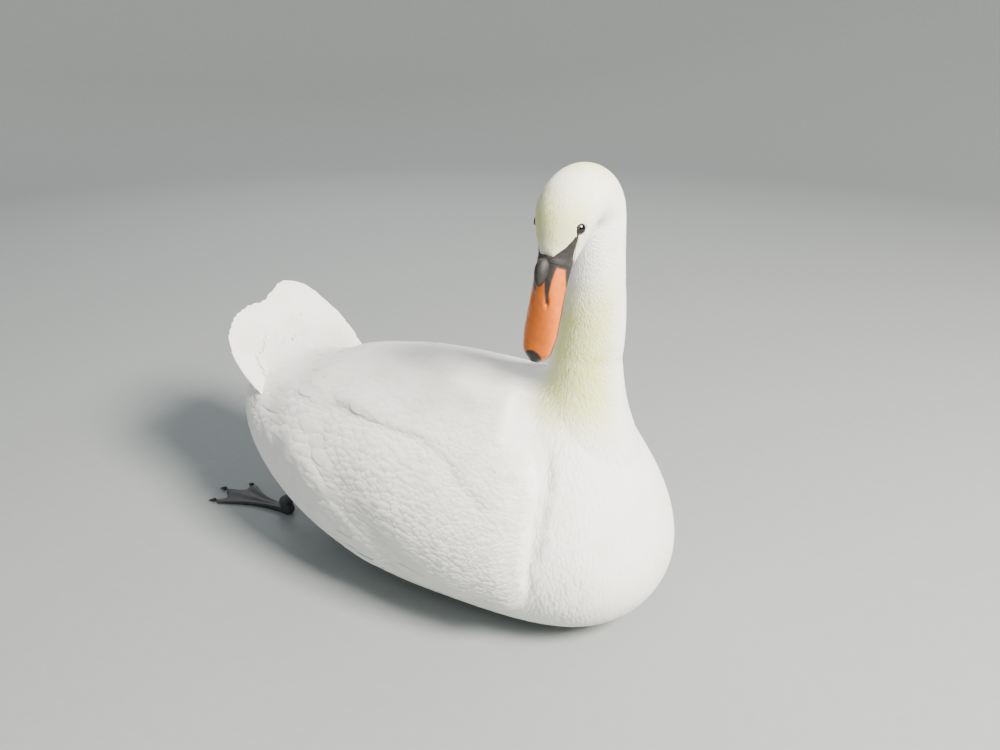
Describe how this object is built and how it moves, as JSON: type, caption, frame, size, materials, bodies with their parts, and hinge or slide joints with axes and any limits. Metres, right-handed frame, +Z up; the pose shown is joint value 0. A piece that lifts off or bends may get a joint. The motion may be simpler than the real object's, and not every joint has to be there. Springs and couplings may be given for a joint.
{
  "type": "mute swan, life-size still model",
  "caption": "Life-size still model of a white mute swan resting on its belly, neck raised, orange and black bill turned to its right, tail cocked.",
  "frame": {"origin": "on the flat under the belly, on the bird's midline below the middle of its back, at floor level", "axes": "+Z up, -Y the way the breast faces, +X to the bird's left; the head is turned to -X"},
  "size_m": [0.3218, 0.6622, 0.5212],
  "materials": {
    "plumage": "soft matte white feathers",
    "bill_orange": "satin horn",
    "black_skin": "satin bare skin and horn",
    "eye": "wet gloss",
    "leg_skin": "scaly matte skin",
    "claw": "satin horn"
  },
  "bodies": {
    "root": {"bill_base": "black_skin", "bill_knob": "black_skin", "bill_lower": "black_skin", "bill_nail": "black_skin", "bill_upper": "bill_orange", "breast": "plumage", "claw_left_inner": "claw", "claw_left_middle": "claw", "claw_left_outer": "claw", "claw_right_inner": "claw", "claw_right_middle": "claw", "claw_right_outer": "claw", "eye_left": "eye", "eye_right": "eye", "foot_left": "leg_skin", "foot_right": "leg_skin", "head": "plumage", "lore_left": "black_skin", "lore_right": "black_skin", "neck_lower": "plumage", "neck_middle": "plumage", "neck_upper": "plumage", "scapulars_left": "plumage", "scapulars_right": "plumage", "tail": "plumage", "tail_coverts_under": "plumage", "tail_coverts_upper": "plumage", "tarsus_left": "leg_skin", "tarsus_right": "leg_skin", "trunk": "plumage", "wing_left": "plumage", "wing_left_flight": "plumage", "wing_right": "plumage", "wing_right_flight": "plumage"}
  },
  "joints": []
}
